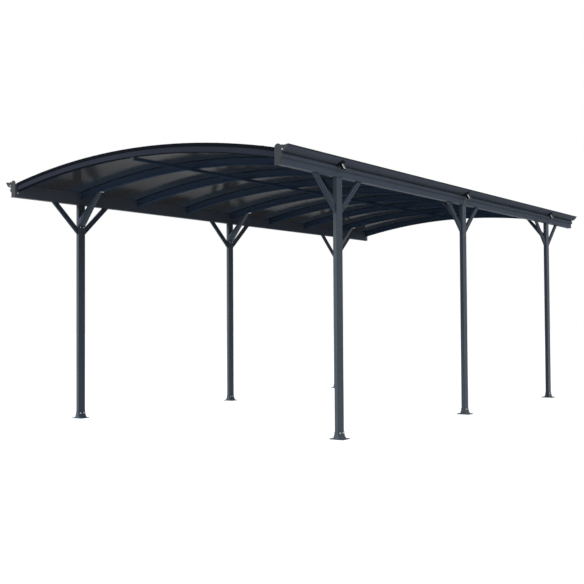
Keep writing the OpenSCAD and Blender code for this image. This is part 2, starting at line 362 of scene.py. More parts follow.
KEY_LAMP = Lamp(
    name="key_lamp",
    place=(-5.5, -11.0, 7.5),
    aim=(0.0, -0.5, 1.2),
    width=6.0,
    height=4.0,
    watts=1650.0,
    use=LampUse.MATT,
    colour=(1.0, 0.985, 0.96),
)
GLOSS_CARD = Lamp(
    name="gloss_card",
    place=(6.4, -4.8, 8.1),
    aim=(1.5, -1.0, 2.2),
    width=7.0,
    height=7.0,
    watts=1700.0,
    use=LampUse.GLOSS,
    only_for="spouts_",
)


@dataclass(frozen=True)
class Studio:
    """A pale floor under plain soft light, on a white ground."""

    floor_radius: float = 60.0
    floor_sides: int = 64
    floor_tone: float = 0.30
    floor_glow: float = 0.92
    ambient: float = 0.70
    ambient_colour: Rgb = (0.66, 0.84, 1.08)
    lamps: tuple[Lamp, ...] = (KEY_LAMP, GLOSS_CARD)

    def build(self, nodes: Nodes) -> None:
        """Makes the world, the floor and the lamps.

        Args:
            nodes: The frame's nodes by name.
        """
        bpy.context.scene.view_settings.view_transform = "Standard"
        self.light_world()
        self.lay_floor()
        for lamp in self.lamps:
            lamp.build(nodes)

    @staticmethod
    def seen(tree: Tree) -> Socket:
        """Finds the rays that show the white ground: camera, glossy and transmission rays.

        Args:
            tree: The tree that asks.

        Returns:
            A socket that is 1 for those rays and 0 for the others.
        """
        path = tree.node("LightPath")
        glossy = path.outputs["Is Glossy Ray"]
        mirrored = tree.math("ADD", glossy, path.outputs["Is Transmission Ray"], clamp=True)
        return tree.math("ADD", path.outputs["Is Camera Ray"], mirrored, clamp=True)

    def light_world(self) -> None:
        """Gives the world an even light, and white where it is seen."""
        world = bpy.data.worlds.new("studio_world")
        world.use_nodes = True
        bpy.context.scene.world = world
        tree = Tree(world.node_tree)
        lit = tree.put(tree.node("Background"), Color=self.ambient_colour, Strength=self.ambient)
        white = tree.put(tree.node("Background"), Color=(1.0, 1.0, 1.0), Strength=1.0)
        choice = tree.node("MixShader")
        for index, value in enumerate((self.seen(tree), lit.outputs[0], white.outputs[0])):
            tree.feed(choice.inputs[index], value)
        tree.put(tree.node("OutputWorld"), Surface=choice.outputs[0])

    def lay_floor(self) -> None:
        """Lays a round floor that reads as plain white, so bright that no shadow shows on it."""
        shape = bmesh.new()
        bmesh.ops.create_circle(shape, cap_ends=True, segments=self.floor_sides, radius=self.floor_radius)
        mesh = bpy.data.meshes.new("floor")
        shape.to_mesh(mesh)
        shape.free()
        floor = bpy.data.objects.new("floor", mesh)
        bpy.context.scene.collection.objects.link(floor)
        material = bpy.data.materials.new("floor")
        material.use_nodes = True
        tree = Tree(material.node_tree)
        tone = (self.floor_tone, self.floor_tone, self.floor_tone)
        matt = tree.put(tree.node("BsdfDiffuse"), Color=tone)
        strength = tree.math("MULTIPLY", self.seen(tree), self.floor_glow)
        glow = tree.put(tree.node("Emission"), Strength=strength)
        both = tree.node("AddShader")
        tree.feed(both.inputs[0], matt.outputs[0])
        tree.feed(both.inputs[1], glow.outputs[0])
        tree.put(tree.node("OutputMaterial"), Surface=both.outputs[0])
        mesh.materials.append(material)


GroupStart = tuple[Tree, bpy.types.Node, bpy.types.Node]


class GroupShelf:
    """The shader groups that several finishes share, each built once."""

    EDGE_SAMPLES = 4
    EDGE_TURN = (0.995, 0.80)
    CLOUD_DETAIL = 5.0
    CLOUD_RANGE = (0.3, 0.7)
    FLECKS = 420.0
    FLECK_DETAIL = 2.0
    FLECK_SHARE = 0.35
    PEEL_DETAIL = 1.5
    DUST_SLOPE = (0.35, 0.95)
    DUST_CLOUDS = 6.0
    DUST_DETAIL = 6.0
    DUST_RANGE = (0.35, 0.75)

    def __init__(self) -> None:
        """Builds every group."""
        self.soft_edge = self.build_soft_edge()
        self.tone_drift = self.build_tone_drift()
        self.peel = self.build_peel()
        self.settled_dust = self.build_settled_dust()

    @staticmethod
    def start(
        name: str, inputs: Sequence[tuple[str, str, object]], outputs: Sequence[tuple[str, str]]
    ) -> GroupStart:
        """Starts a group with named sockets.

        Args:
            name: The group's name.
            inputs: Name, socket type and default of each input.
            outputs: Name and socket type of each output.

        Returns:
            The group's tree, its input node and its output node.
        """
        group = bpy.data.node_groups.new(name, "ShaderNodeTree")
        for label, kind, default in inputs:
            socket = group.interface.new_socket(label, in_out="INPUT", socket_type="NodeSocket" + kind)
            socket.default_value = default
        for label, kind in outputs:
            group.interface.new_socket(label, in_out="OUTPUT", socket_type="NodeSocket" + kind)
        tree = Tree(group)
        return tree, group.nodes.new("NodeGroupInput"), group.nodes.new("NodeGroupOutput")

    def build_soft_edge(self) -> bpy.types.NodeTree:
        """Builds a rounded normal along sharp edges, and a mask of those edges.

        Returns:
            The group.
        """
        tree, given, out = self.start(
            "soft_edge", [("Radius", "Float", 0.002)], [("Normal", "Vector"), ("Edge", "Float")]
        )
        bevel = tree.put(tree.node("Bevel", samples=self.EDGE_SAMPLES), Radius=given.outputs["Radius"])
        flat = tree.node("NewGeometry")
        turn = tree.node("VectorMath", operation="DOT_PRODUCT")
        tree.feed(turn.inputs[0], bevel.outputs[0])
        tree.feed(turn.inputs[1], flat.outputs["Normal"])
        edge = tree.ramp(turn.outputs["Value"], *self.EDGE_TURN)
        tree.put(out, Normal=bevel.outputs[0], Edge=edge)
        return tree.tree

    def build_tone_drift(self) -> bpy.types.NodeTree:
        """Builds a colour that drifts a little in broad clouds and fine flecks, and the clouds.

        Returns:
            The group.
        """
        tree, given, out = self.start(
            "tone_drift",
            [("Color", "Color", (0.5, 0.5, 0.5, 1.0)), ("Amount", "Float", 0.1), ("Scale", "Float", 1.0)],
            [("Color", "Color"), ("Cloud", "Float")],
        )
        cloud = tree.ramp(tree.noise(given.outputs["Scale"], self.CLOUD_DETAIL), *self.CLOUD_RANGE)
        fine = tree.math("SUBTRACT", tree.noise(self.FLECKS, self.FLECK_DETAIL), tree.MIDDLE)
        both = tree.math("ADD", cloud, tree.math("MULTIPLY", fine, self.FLECK_SHARE))
        value = tree.drift(both, 1.0, given.outputs["Amount"])
        shade = tree.put(tree.node("HueSaturation"), Color=given.outputs["Color"], Value=value)
        tree.put(out, Color=shade.outputs[0], Cloud=cloud)
        return tree.tree

    def build_peel(self) -> bpy.types.NodeTree:
        """Builds the height of a coating's orange peel.

        Returns:
            The group.
        """
        tree, given, out = self.start("orange_peel", [("Scale", "Float", 300.0)], [("Height", "Float")])
        tree.put(out, Height=tree.noise(given.outputs["Scale"], self.PEEL_DETAIL))
        return tree.tree

    def build_settled_dust(self) -> bpy.types.NodeTree:
        """Builds a mask of dust that settles on faces that look up, broken into clouds.

        Returns:
            The group.
        """
        tree, given, out = self.start("settled_dust", [("Amount", "Float", 0.3)], [("Mask", "Float")])
        level = tree.looks_up(*self.DUST_SLOPE)
        patch = tree.ramp(tree.noise(self.DUST_CLOUDS, self.DUST_DETAIL), *self.DUST_RANGE)
        mask = tree.math("MULTIPLY", tree.math("MULTIPLY", level, patch), given.outputs["Amount"])
        tree.put(out, Mask=mask)
        return tree.tree


@dataclass(frozen=True)
class Finish:
    """A finish that builds its material round one Principled shader."""

    name: str

    def material(self, shelf: GroupShelf) -> bpy.types.Material:
        """Builds the material.

        Args:
            shelf: The shared shader groups.

        Returns:
            The material.
        """
        material = bpy.data.materials.new(self.name)
        material.use_nodes = True
        tree = Tree(material.node_tree)
        shader = tree.node("BsdfPrincipled")
        tree.put(tree.node("OutputMaterial"), Surface=shader.outputs[0])
        self.wire(tree, shader, shelf)
        return material

    def wire(self, tree: Tree, shader: bpy.types.Node, shelf: GroupShelf) -> None:
        """Wires the finish to the shader; every kind of finish has its own."""
        raise NotImplementedError


@dataclass(frozen=True)
class PowderCoat(Finish):
    """Satin powder coating on aluminium, with orange peel, soft edges and a little dust."""

    colour: Rgb
    edge_colour: Rgb
    roughness: float = 0.42
    specular: float = 0.15
    drift: float = 0.16
    wear: float = 0.6
    dust: float = 0.22
    dust_colour: Rgb = linear(112, 111, 107)
    edge_radius: float = 0.0025
    peel_scale: float = 320.0
    peel_depth: float = 0.00006
    peel_strength: float = 0.5
    cloud_scale: float = 2.2
    rough_swing: float = 0.10

    def wire(self, tree: Tree, shader: bpy.types.Node, shelf: GroupShelf) -> None:
        """Wires the coating to the shader.

        Args:
            tree: The material's tree.
            shader: Its Principled shader.
            shelf: The shared shader groups.
        """
        edge = tree.group(shelf.soft_edge, Radius=self.edge_radius)
        tone = tree.group(shelf.tone_drift, Color=self.colour, Amount=self.drift, Scale=self.cloud_scale)
        dust = tree.group(shelf.settled_dust, Amount=self.dust)
        worn_share = tree.math("MULTIPLY", edge.outputs["Edge"], self.wear)
        worn = tree.mix(worn_share, tone.outputs["Color"], self.edge_colour)
        dusty = tree.mix(dust.outputs["Mask"], worn, self.dust_colour)
        rough = tree.drift(tone.outputs["Cloud"], self.roughness, self.rough_swing)
        rough = tree.math("ADD", rough, dust.outputs["Mask"])
        peel = tree.group(shelf.peel, Scale=self.peel_scale)
        height = peel.outputs["Height"]
        normal = tree.bump(height, self.peel_depth, self.peel_strength, Normal=edge.outputs["Normal"])
        tree.put(shader, Base_Color=dusty, Roughness=rough, Normal=normal)
        tree.put(shader, Specular_IOR_Level=self.specular)


@dataclass(frozen=True)
class TintedSheet(Finish):
    """Dark tinted polycarbonate: a glossy weather film on top, dull and a little wavy below, with painted
    shade that turns it bluer beside the bows.
    """

    between_bows: Rgb
    beside_bows: Rgb
    bay_pitch: float = 0.78
    roughness: float = 0.13
    see_through: float = 0.6
    ior: float = 1.035
    top_gloss: float = 0.8
    wave_scale: float = 2.6
    wave_depth: float = 0.004
    wave_strength: float = 0.6
    wave_detail: float = 1.0
    half_bay: float = 0.5
    tint_range: Flat = (0.12, 0.45)
    film_slope: Flat = (0.2, 0.6)
    film_roughness: float = 0.08
    drift: float = 0.25
    cloud_scale: float = 1.3
    rough_swing: float = 0.10

    def wire(self, tree: Tree, shader: bpy.types.Node, shelf: GroupShelf) -> None:
        """Wires the sheet to the shader.

        Args:
            tree: The material's tree.
            shader: Its Principled shader.
            shelf: The shared shader groups.
        """
        # Painted shade: the colour turns bluer near each bow, standing in for the shade that the bows cast
        # on the sheet.
        bays = tree.math("DIVIDE", tree.place().outputs["Y"], self.bay_pitch)
        clear_of_painted_shade = tree.ramp(tree.math("PINGPONG", bays, self.half_bay), *self.tint_range)
        tint_and_painted_shade = tree.mix(clear_of_painted_shade, self.beside_bows, self.between_bows)
        tone = tree.group(shelf.tone_drift, Color=tint_and_painted_shade, Amount=self.drift, Scale=self.cloud_scale)
        rough = tree.drift(tone.outputs["Cloud"], self.roughness, self.rough_swing)
        waves = tree.noise(self.wave_scale, self.wave_detail)
        normal = tree.bump(waves, self.wave_depth, self.wave_strength)
        film = tree.math("MULTIPLY", tree.looks_up(*self.film_slope), self.top_gloss)
        tree.put(shader, Base_Color=tone.outputs["Color"], Roughness=rough, Normal=normal)
        tree.put(shader, IOR=self.ior, Transmission_Weight=self.see_through)
        tree.put(shader, Coat_Weight=film, Coat_Roughness=self.film_roughness)


@dataclass(frozen=True)
class MouldedPlastic(Finish):
    """Moulded plastic or rubber with a fine grain."""

    colour: Rgb
    roughness: float
    specular: float = 0.25
    grain_scale: float = 900.0
    grain_depth: float = 0.00005
    grain_strength: float = 0.5
    drift: float = 0.12
    cloud_scale: float = 9.0
    rough_swing: float = 0.08
    edge_radius: float = 0.0015

    def wire(self, tree: Tree, shader: bpy.types.Node, shelf: GroupShelf) -> None:
        """Wires the plastic to the shader.

        Args:
            tree: The material's tree.
            shader: Its Principled shader.
            shelf: The shared shader groups.
        """
        edge = tree.group(shelf.soft_edge, Radius=self.edge_radius)
        tone = tree.group(shelf.tone_drift, Color=self.colour, Amount=self.drift, Scale=self.cloud_scale)
        rough = tree.drift(tone.outputs["Cloud"], self.roughness, self.rough_swing)
        grain = tree.group(shelf.peel, Scale=self.grain_scale)
        height = grain.outputs["Height"]
        normal = tree.bump(height, self.grain_depth, self.grain_strength, Normal=edge.outputs["Normal"])
        tree.put(shader, Base_Color=tone.outputs["Color"], Roughness=rough, Normal=normal)
        tree.put(shader, Specular_IOR_Level=self.specular)


@dataclass(frozen=True)
class SpoutPlastic(Finish):
    """Black plastic of the spouts: a matt saddle on the trough and a polished tube."""

    colour: Rgb
    trough_x: float = 1.5505
    trough_z: float = 2.2727
    polished_from: float = 0.090
    blend: float = 0.002
    matt: float = 0.75
    polished: float = 0.2
    gloss: float = 0.8
    gloss_roughness: float = 0.12
    specular: float = 0.1
    edge_radius: float = 0.001
    drift: float = 0.12
    cloud_scale: float = 9.0

    def wire(self, tree: Tree, shader: bpy.types.Node, shelf: GroupShelf) -> None:
        """Wires the saddle and the tube to the shader.

        Args:
            tree: The material's tree.
            shader: Its Principled shader.
            shelf: The shared shader groups.
        """
        parts = tree.place()
        across = tree.math("SUBTRACT", tree.math("ABSOLUTE", parts.outputs["X"]), self.trough_x)
        below = tree.math("SUBTRACT", parts.outputs["Z"], self.trough_z)
        square = tree.math("ADD", tree.math("POWER", across, 2.0), tree.math("POWER", below, 2.0))
        reach = tree.math("SQRT", square)
        tube = tree.ramp(reach, self.polished_from - self.blend, self.polished_from + self.blend)
        tone = tree.group(shelf.tone_drift, Color=self.colour, Amount=self.drift, Scale=self.cloud_scale)
        shine = tree.math("MULTIPLY", tube, self.gloss)
        smooth = tree.math("MULTIPLY", tube, self.matt - self.polished)
        rough = tree.math("SUBTRACT", self.matt, smooth)
        edge = tree.group(shelf.soft_edge, Radius=self.edge_radius)
        tree.put(shader, Base_Color=tone.outputs["Color"], Roughness=rough, Normal=edge.outputs["Normal"])
        tree.put(shader, Coat_Weight=shine, Coat_Roughness=self.gloss_roughness)
        tree.put(shader, Specular_IOR_Level=self.specular)


@dataclass(frozen=True)
class PlatedSteel(Finish):
    """Zinc-plated steel of the screws, with a spangled tone."""

    colour: Rgb
    roughness: float = 0.3
    spangle: float = 260.0
    drift: float = 0.2
    rough_swing: float = 0.2

    def wire(self, tree: Tree, shader: bpy.types.Node, shelf: GroupShelf) -> None:
        """Wires the plating to the shader.

        Args:
            tree: The material's tree.
            shader: Its Principled shader.
            shelf: The shared shader groups.
        """
        tone = tree.group(shelf.tone_drift, Color=self.colour, Amount=self.drift, Scale=self.spangle)
        rough = tree.drift(tone.outputs["Cloud"], self.roughness, self.rough_swing)
        tree.put(shader, Base_Color=tone.outputs["Color"], Roughness=rough, Metallic=1.0)


POST_COAT = PowderCoat("post_coat", linear(79, 85, 90), linear(102, 107, 112))
# Painted light: the gutters wear a lighter copy of the anthracite coat, which brightens their shaded
# faces.
LIGHTENED_GUTTER_COAT = PowderCoat(
    "gutter_coat", linear(107, 108, 112), linear(110, 112, 116), specular=0.01, edge_radius=0.0012
)
BRACE_COAT = PowderCoat("brace_coat", linear(68, 77, 87), linear(92, 98, 106))
# Painted shade: the bows, the crown purlin and its straps wear a bluer copy of the anthracite coat, tinted
# like the shade under the roof.
BLUE_SHADED_BOW_COAT = PowderCoat("bow_coat", linear(72, 86, 104), linear(80, 92, 107), specular=0.0)
# Painted shade: the front gable alone wears a darker copy of the anthracite coat, standing in for the
# shade on its face; the rear gable wears the bow coat.
SHADED_FRONT_GABLE_COAT = PowderCoat("front_gable_coat_painted_shade", linear(42, 45, 53), linear(52, 56, 64), specular=0.0)
STRIP_COAT = PowderCoat("strip_coat", linear(20, 22, 27), linear(30, 33, 39), specular=0.0, dust=0.05)
CAP_GREY = MouldedPlastic("cap_grey", linear(52, 54, 57), 0.55)
JOINT_GREY = MouldedPlastic("joint_grey", linear(120, 123, 127), 0.4)
SEAL_BLACK = MouldedPlastic("seal_black", linear(20, 21, 23), 0.7)
SPOUT_BLACK = SpoutPlastic("spout_black", linear(24, 25, 33))
# The second colour is painted shade beside the bows; the first is the sheet's own smoky tint.
SMOKED = TintedSheet("smoked_sheet", (0.036, 0.036, 0.037), (0.034, 0.047, 0.066))
BRIGHT_STEEL = PlatedSteel("bright_steel", linear(214, 216, 218))

# The first start that fits a node's name holds, so the front gable, whose darker coat is painted shade,
# comes before the other bows
NODE_FINISHES: dict[str, Finish] = {
    "post_": POST_COAT,
    "foot_": POST_COAT,
    "braces_": BRACE_COAT,
    "gutter_front_": LIGHTENED_GUTTER_COAT,
    "gutter_rear_": LIGHTENED_GUTTER_COAT,
    "gutter_end_caps": CAP_GREY,
    "gutter_joints": JOINT_GREY,
    "spouts_": SPOUT_BLACK,
    "bow_1": SHADED_FRONT_GABLE_COAT,
    "bow_": BLUE_SHADED_BOW_COAT,
    "roof_sheet_": SMOKED,
    "cover_strips": STRIP_COAT,
    "crown_purlin": BLUE_SHADED_BOW_COAT,
}


class Wardrobe:
    """Keeps the materials built so far and dresses the nodes in them."""

    def __init__(self) -> None:
        """Starts with the shared groups and no materials."""
        self.shelf = GroupShelf()
        self.made: dict[str, bpy.types.Material] = {}

    def material(self, finish: Finish) -> bpy.types.Material:
        """Gives a finish's material, built once.

        Args:
            finish: The finish.

        Returns:
            Its material.
        """
        if finish.name not in self.made:
            self.made[finish.name] = finish.material(self.shelf)
        return self.made[finish.name]

    def dress_nodes(self, nodes: Nodes) -> None:
        """Puts the finishes on the CAD nodes.

        Args:
            nodes: The frame's nodes by name.
        """
        for name, node in nodes.items():
            finish = next(found for start, found in NODE_FINISHES.items() if name.startswith(start))
            node.data.materials.clear()
            node.data.materials.append(self.material(finish))
            LOG.info("%s wears %s", name, finish.name)


@dataclass(frozen=True)
class Post:
    """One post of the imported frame, as its neighbours see it."""

    side: Side
    row: Row

    @property
    def box(self) -> tuple[Vector, Vector]:
        """The post's lowest and highest corner."""
        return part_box(f"post_{self.row.value}_{self.side.label}")

    @property
    def mid_y(self) -> float:
        """The post's middle along the carport."""
        low, high = self.box
        return (low.y + high.y) / 2

    @property
    def half_depth(self) -> float:
        """Half the post's depth along the carport."""
        low, high = self.box
        return (high.y - low.y) / 2

    @property
    def top(self) -> float:
        """Height of the post's top, under the beam."""
        return self.box[1].z

    def face_x(self, inner: bool) -> float:
        """Finds a broad face of the post.

        Args:
            inner: Whether the face looks to the middle of the carport or away from it.

        Returns:
            The face's X.
        """
        low, high = self.box
        looks_low = (self.side is Side.RIGHT) == inner
        return low.x if looks_low else high.x

    @staticmethod
    def every() -> Iterator["Post"]:
        """Goes through the six posts.

        Returns:
            The posts, one by one.
        """
        for side in Side:
            for row in Row:
                yield Post(side, row)


@dataclass(frozen=True)
class Arch:
    """The roof's arch: everything on it is turned about one axis along the carport."""

    radius: float = 7.05
    sheet_top: float = 0.0052
    sheet_under: float = 0.0102
    bow_under: float = 0.0724

    @property
    def axis_z(self) -> float:
        """Height of the arch's axis, below the ground."""
        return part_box("cover_strips")[1].z - self.radius

    def angle(self, x: float, drop: float = 0.0) -> float:
        """Angle from the crown at which the circle that lies a drop below the roof's top reaches X."""
        return math.asin(x / (self.radius - drop))

    def place(self, angle: float, y: float, drop: float = 0.0) -> Matrix:
        """A frame on the arch, with Z outwards and Y along the carport.

        Args:
            angle: Angle from the crown, to the right.
            y: Place along the carport.
            drop: Depth below the roof's top.

        Returns:
            The frame's matrix.
        """
        reach = self.radius - drop
        point = Vector((math.sin(angle) * reach, y, self.axis_z + math.cos(angle) * reach))
        return Matrix.Translation(point) @ Matrix.Rotation(angle, 4, "Y")


def bow_y(number: int) -> float:
    """Middle of a bow along the carport; the bows are numbered from 1 at the front."""
    low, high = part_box(f"bow_{number}")
    return (low.y + high.y) / 2


def facing(point: Sequence[float], normal: Sequence[float]) -> Matrix:
    """A frame at a point, with Z along a normal."""
    turn = Vector(normal).to_track_quat("Z", "Y").to_matrix().to_4x4()
    return Matrix.Translation(Vector(point)) @ turn


def upright(point: Sequence[float], way: int) -> Matrix:
    """A frame on a wall that looks along X.

    Args:
        point: The frame's origin.
        way: 1 for a wall that looks to the right, -1 for one that looks to the left.

    Returns:
        The frame's matrix: its X up or down, its Y along the carport, its Z off the wall.
    """
    return Matrix.Translation(Vector(point)) @ Matrix.Rotation(way * math.pi / 2, 4, "Y")


class Bench:
    """Gathers the shapes of one piece and hands it over finished."""

    PLATE_CORNER = 0.004
    CORNER_STEPS = 4
    RIM_SHARE = 0.2
    EDGE_STEPS = 2

    def __init__(self, name: str) -> None:
        """Starts an empty piece."""
        self.name = name
        self.shape = bmesh.new()

    def take(self, part: bmesh.types.BMesh, place: Matrix) -> None:
        """Closes a shape, puts it in place and joins it to the piece.

        Args:
            part: The shape, which is used up.
            place: Where it goes.
        """
        bmesh.ops.remove_doubles(part, verts=part.verts, dist=MERGE_WITHIN)
        bmesh.ops.recalc_face_normals(part, faces=part.faces)
        part.transform(place)
        mesh = bpy.data.meshes.new("part")
        part.to_mesh(mesh)
        part.free()
        self.shape.from_mesh(mesh)
        bpy.data.meshes.remove(mesh)

    def turned(self, outline: Sequence[Flat], steps: int, place: Matrix) -> None:
        """Adds a turned shape.

        Args:
            outline: Half outline from the axis to the axis, as radius and height.
            steps: Steps of the full turn.
            place: Where it goes.
        """
        part = bmesh.new()
        points = [part.verts.new((radius, 0.0, height)) for radius, height in outline]
        lines = [part.edges.new(pair) for pair in zip(points, points[1:])]
        bmesh.ops.spin(
            part, geom=points + lines, axis=(0.0, 0.0, 1.0), angle=math.tau, steps=steps, use_merge=True
        )
        self.take(part, place)

    def plate(self, width: float, height: float, depth: float, place: Matrix) -> None:
        """Adds a flat plate with round corners and broken edges, its back at the frame's origin.

        Args:
            width: Size along the frame's X.
            height: Size along the frame's Y.
            depth: Thickness along the frame's Z.
            place: Where it goes.
        """
        part = bmesh.new()
        bmesh.ops.create_grid(part, x_segments=1, y_segments=1, size=0.5)
        bmesh.ops.scale(part, vec=(width, height, 1.0), verts=part.verts)
        made = bmesh.ops.extrude_face_region(part, geom=part.faces[:])
        lifted = [found for found in made["geom"] if isinstance(found, bmesh.types.BMVert)]
        bmesh.ops.translate(part, vec=(0.0, 0.0, depth), verts=lifted)
        rising = [edge for edge in part.edges if abs(edge.verts[0].co.z - edge.verts[1].co.z) > depth / 2]
        self.round_off(part, rising, self.PLATE_CORNER, self.CORNER_STEPS)
        rim = [edge for edge in part.edges if all(vert.co.z > depth / 2 for vert in edge.verts)]
        self.round_off(part, rim, depth * self.RIM_SHARE, self.EDGE_STEPS)
        self.take(part, place)

    def loft(self, first: Sequence[Vector], second: Sequence[Vector], edge_radius: float = 0.0) -> None:
        """Adds a bar between two outlines of as many points.

        Args:
            first: Corners of the first end.
            second: Corners of the other end, in the same order.
            edge_radius: Radius of the long edges, if they are rounded.
        """
        part = bmesh.new()
        start = [part.verts.new(point) for point in first]
        face = part.faces.new(start)
        made = bmesh.ops.extrude_face_region(part, geom=[face])
        moved = {found for found in made["geom"] if isinstance(found, bmesh.types.BMVert)}
        long_edges = []
        for vert, point in zip(start, second):
            edge = next(found for found in vert.link_edges if found.other_vert(vert) in moved)
            edge.other_vert(vert).co = point
            long_edges.append(edge)
        if edge_radius:
            self.round_off(part, long_edges, edge_radius, self.EDGE_STEPS)
        self.take(part, Matrix())

    def drawn(self, outline: Sequence[Flat], from_y: float, to_y: float) -> None:
        """Adds a bar drawn along the carport, its section given as X and Z."""
        first, second = ([Vector((x, y, z)) for x, z in outline] for y in (from_y, to_y))
        self.loft(first, second)

    def bent(self, outline: Sequence[Flat], arch: Arch, start: float, stop: float, steps: int) -> None:
        """Adds a bar of one section bent along the arch.

        Args:
            outline: Corners of the section, as place along the carport and depth below the roof's top.
            arch: The roof's arch.
            start: Angle of the first end, from the crown.
            stop: Angle of the other end.
            steps: Steps of the bend.
        """
        part = bmesh.new()
        corners = [arch.place(start, y, drop).translation for y, drop in outline]
        face = part.faces.new([part.verts.new(corner) for corner in corners])
        bmesh.ops.spin(
            part,
            geom=[face, *face.edges, *face.verts],
            cent=(0.0, 0.0, arch.axis_z),
            axis=(0.0, 1.0, 0.0),
            angle=stop - start,
            steps=steps,
        )
        self.take(part, Matrix())

    @staticmethod
    def round_off(
        part: bmesh.types.BMesh, edges: Iterable[bmesh.types.BMEdge], radius: float, steps: int
    ) -> None:
        """Rounds edges of a shape."""
        bmesh.ops.bevel(
            part, geom=list(edges), offset=radius, segments=steps, profile=0.5, affect="EDGES", material=-1
        )

    def hand_over(self, wardrobe: Wardrobe, finish: Finish) -> None:
        """Turns the shapes into a piece that rides on the carport.

        Args:
            wardrobe: The materials.
            finish: The piece's finish.
        """
        mesh = bpy.data.meshes.new(self.name)
        self.shape.to_mesh(mesh)
        self.shape.free()
        mesh.shade_smooth()
        mesh.set_sharp_from_angle(angle=SMOOTH_UP_TO)
        mesh.materials.append(wardrobe.material(finish))
        piece = bpy.data.objects.new(self.name, mesh)
        bpy.context.scene.collection.objects.link(piece)
        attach(piece, BODY)
        LOG.info("%s: %d faces, %s", self.name, len(mesh.polygons), finish.name)


@dataclass(frozen=True)
class DomeScrew:
    """A dome-headed screw on a washer, with a round drive recess."""

    head_r: float = 0.0050
    head_h: float = 0.0032
    washer_r: float = 0.0068
    washer_t: float = 0.0011
    sink: float = 0.0004
    steps: int = 16
    washer_rim: float = 0.7
    washer_slope: float = 0.4
    dome: tuple[Flat, ...] = (
        (1.0, 0.0),
        (0.94, 0.45),
        (0.72, 0.84),
        (0.40, 1.0),
        (0.34, 0.55),
        (0.0, 0.45),
    )

    def add(self, bench: Bench, place: Matrix) -> None:
        """Adds the screw to a piece.

        Args:
            bench: The piece.
            place: A frame on the surface, with Z outwards.
        """
        outline = [
            (0.0, -self.sink),
            (self.washer_r, -self.sink),
            (self.washer_r, self.washer_t * self.washer_rim),
            (self.washer_r - self.washer_t * self.washer_slope, self.washer_t),
        ]
        outline += [(self.head_r * wide, self.washer_t + self.head_h * tall) for wide, tall in self.dome]
        bench.turned(outline, self.steps, place)


@dataclass(frozen=True)
class GutterScrews:
    """Bright screws that hold the gutters' end caps and close the beams near their ends."""

    in_from_cap_edge: float = 0.061
    below_cap_top: float = 0.0447
    above_beam_bottom: float = 0.040
    in_from_beam_end: float = 0.028
    screw: DomeScrew = DomeScrew(head_r=0.0050, washer_r=0.0066)

    def build(self, wardrobe: Wardrobe) -> None:
        """Builds the screws of all four gutter ends.

        Args:
            wardrobe: The materials.
        """
        bench = Bench("gutter_screws")
        low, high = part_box("gutter_end_caps")
        for side in Side:
            for end in End:
                cap_y = low.y if end is End.FRONT else high.y
                cap_x = side.value * (high.x - self.in_from_cap_edge)
                place = facing((cap_x, cap_y, high.z - self.below_cap_top), (0.0, end.value, 0.0))
                self.screw.add(bench, place)
                self.screw.add(bench, self.beam_place(side, end))
        bench.hand_over(wardrobe, BRIGHT_STEEL)

    def beam_place(self, side: Side, end: End) -> Matrix:
        """Finds the place of the screw on a beam's inner face.

        Args:
            side: The beam's side.
            end: The end that the screw is near.

        Returns:
            The frame's matrix, with Z off the face.
        """
        low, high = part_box(f"gutter_{end.label}_{side.label}")
        inner_x = low.x if side is Side.RIGHT else high.x
        outer_y = low.y if end is End.FRONT else high.y
        point = (inner_x, outer_y - end.value * self.in_from_beam_end, low.z + self.above_beam_bottom)
        return facing(point, (-side.value, 0.0, 0.0))


